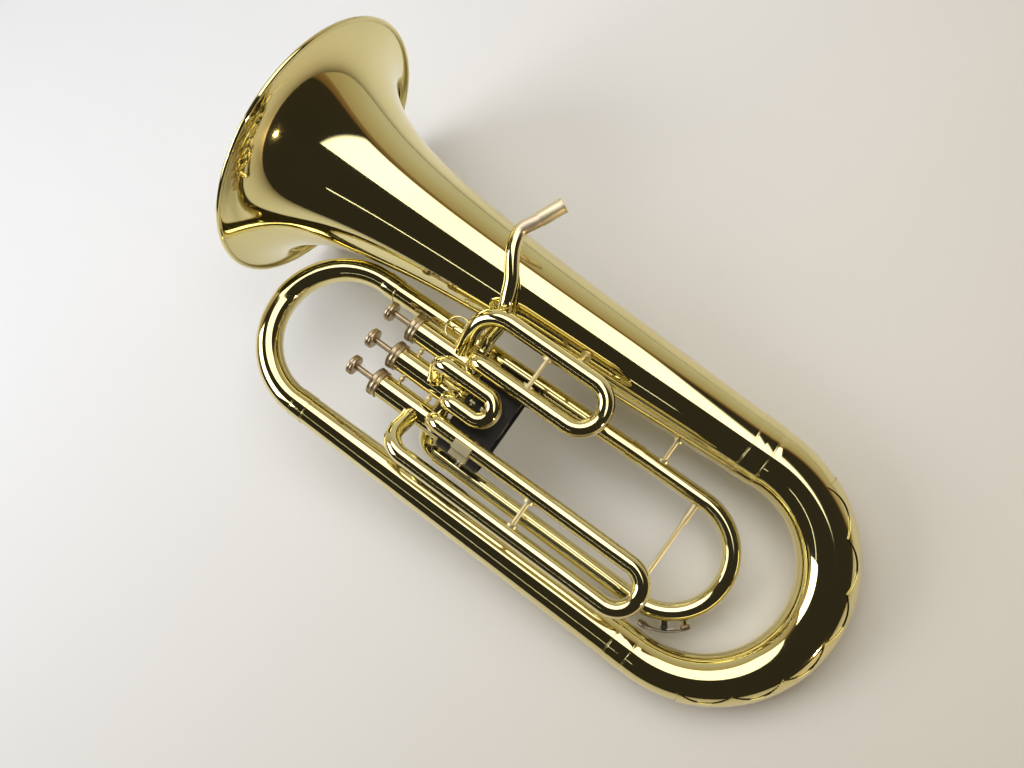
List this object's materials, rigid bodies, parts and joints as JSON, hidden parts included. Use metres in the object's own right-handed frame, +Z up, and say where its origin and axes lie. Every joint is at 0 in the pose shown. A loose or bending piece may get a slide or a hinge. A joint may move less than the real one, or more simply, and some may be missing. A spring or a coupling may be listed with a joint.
{
  "type": "tenor tuba (euphonium)",
  "caption": "Lacquered-brass tenor tuba (euphonium) lying on its back: wide conical bell and bows, top-action piston valves, pull-out valve and tuning slides, water key and leather hand guard.",
  "frame": {"origin": "on the table, below the centre of the horn's box as it lies on its back on its bell rim and bottom bow", "axes": "+X along the horn from the bottom bow to the bell's mouth, level with the table; +Y across the horn from the bell to the outer branch; +Z up from the table"},
  "size_m": [0.6848, 0.3782, 0.2783],
  "materials": {
    "lacquered_brass": "polished yellow brass under clear lacquer",
    "nickel_silver": "worn nickel silver, dull polish",
    "nickel_plate": "ground nickel plate",
    "spring_steel": "drawn spring wire",
    "cork": "natural cork",
    "felt": "pressed felt",
    "leather": "smooth black leather"
  },
  "bodies": {
    "horn": {"bell": "lacquered_brass", "rim_wire": "lacquered_brass", "bell_ferrule": "lacquered_brass", "bottom_bow": "lacquered_brass", "bow_guard": "lacquered_brass", "branch_ferrule": "lacquered_brass", "outer_branch": "lacquered_brass", "top_bow_ferrules": "lacquered_brass", "top_bow": "lacquered_brass", "inner_branch": "lacquered_brass", "tuning_sleeves": "lacquered_brass", "sleeve_ferrules": "lacquered_brass", "outlet_elbow": "lacquered_brass", "casing_1": "lacquered_brass", "casing_2": "lacquered_brass", "casing_3": "lacquered_brass", "top_caps": "nickel_silver", "bottom_caps": "nickel_silver", "cap_felts": "felt", "casing_knuckles": "lacquered_brass", "casing_posts": "lacquered_brass", "first_crook": "lacquered_brass", "first_elbow": "lacquered_brass", "second_elbows": "lacquered_brass", "third_elbow": "lacquered_brass", "third_crook": "lacquered_brass", "first_sleeves": "lacquered_brass", "second_sleeves": "lacquered_brass", "third_sleeves": "lacquered_brass", "sleeve_braces": "lacquered_brass", "bell_braces": "lacquered_brass", "leadpipe": "lacquered_brass", "receiver": "nickel_silver", "thumb_ring": "lacquered_brass", "lyre_socket": "lacquered_brass", "hand_guard": "leather", "guard_snaps": "nickel_silver", "valve_spring_1": "spring_steel", "valve_spring_2": "spring_steel", "valve_spring_3": "spring_steel"},
    "valve_1": {"piston_1": "nickel_plate", "stem_1": "nickel_silver", "button_1": "nickel_silver"},
    "valve_2": {"piston_2": "nickel_plate", "stem_2": "nickel_silver", "button_2": "nickel_silver"},
    "valve_3": {"piston_3": "nickel_plate", "stem_3": "nickel_silver", "button_3": "nickel_silver"},
    "first_slide": {"first_slide": "lacquered_brass"},
    "second_slide": {"second_slide": "lacquered_brass"},
    "third_slide": {"third_slide": "lacquered_brass"},
    "tuning_slide": {"tuning_slide": "lacquered_brass", "pull_rod": "lacquered_brass", "key_saddle": "lacquered_brass", "key_screw": "nickel_silver"},
    "water_key": {"water_key": "nickel_silver", "key_cork": "cork"},
    "lyre_screw": {"lyre_screw": "nickel_silver"}
  },
  "joints": [
    {"name": "valve_1_slide", "type": "slide", "parent": "horn", "child": "valve_1", "axis": [-0.9867, 0, -0.1624], "range_m": [0, 0.0165], "stiffness_N_per_m": 160, "springref_m": -0.03, "deforming": ["valve_spring_1"]},
    {"name": "valve_2_slide", "type": "slide", "parent": "horn", "child": "valve_2", "axis": [-0.9867, 0, -0.1624], "range_m": [0, 0.0165], "stiffness_N_per_m": 160, "springref_m": -0.03, "deforming": ["valve_spring_2"]},
    {"name": "valve_3_slide", "type": "slide", "parent": "horn", "child": "valve_3", "axis": [-0.9867, 0, -0.1624], "range_m": [0, 0.0165], "stiffness_N_per_m": 160, "springref_m": -0.03, "deforming": ["valve_spring_3"]},
    {"name": "first_slide_pull", "type": "slide", "parent": "horn", "child": "first_slide", "axis": [-0.9867, 0, -0.1624], "range_m": [0, 0.04]},
    {"name": "second_slide_pull", "type": "slide", "parent": "horn", "child": "second_slide", "axis": [-0.9867, 0, -0.1624], "range_m": [0, 0.009]},
    {"name": "third_slide_pull", "type": "slide", "parent": "horn", "child": "third_slide", "axis": [-0.9867, 0, -0.1624], "range_m": [0, 0.06]},
    {"name": "tuning_slide_pull", "type": "slide", "parent": "horn", "child": "tuning_slide", "axis": [-0.9867, 0, -0.1624], "range_m": [0, 0.02]},
    {"name": "water_key_hinge", "type": "hinge", "parent": "tuning_slide", "child": "water_key", "pos_m": [-0.21424, 0.13288, 0.02715], "axis": [0.1619, -0.0785, -0.9837], "range_deg": [0, 10], "stiffness_Nm_per_rad": 0.03, "springref_deg": -34.38},
    {"name": "lyre_screw_turn", "type": "hinge", "parent": "horn", "child": "lyre_screw", "pos_m": [0.00631, 0.11534, 0.12939], "axis": [0.0127, 0.9969, -0.0774], "continuous": true}
  ]
}
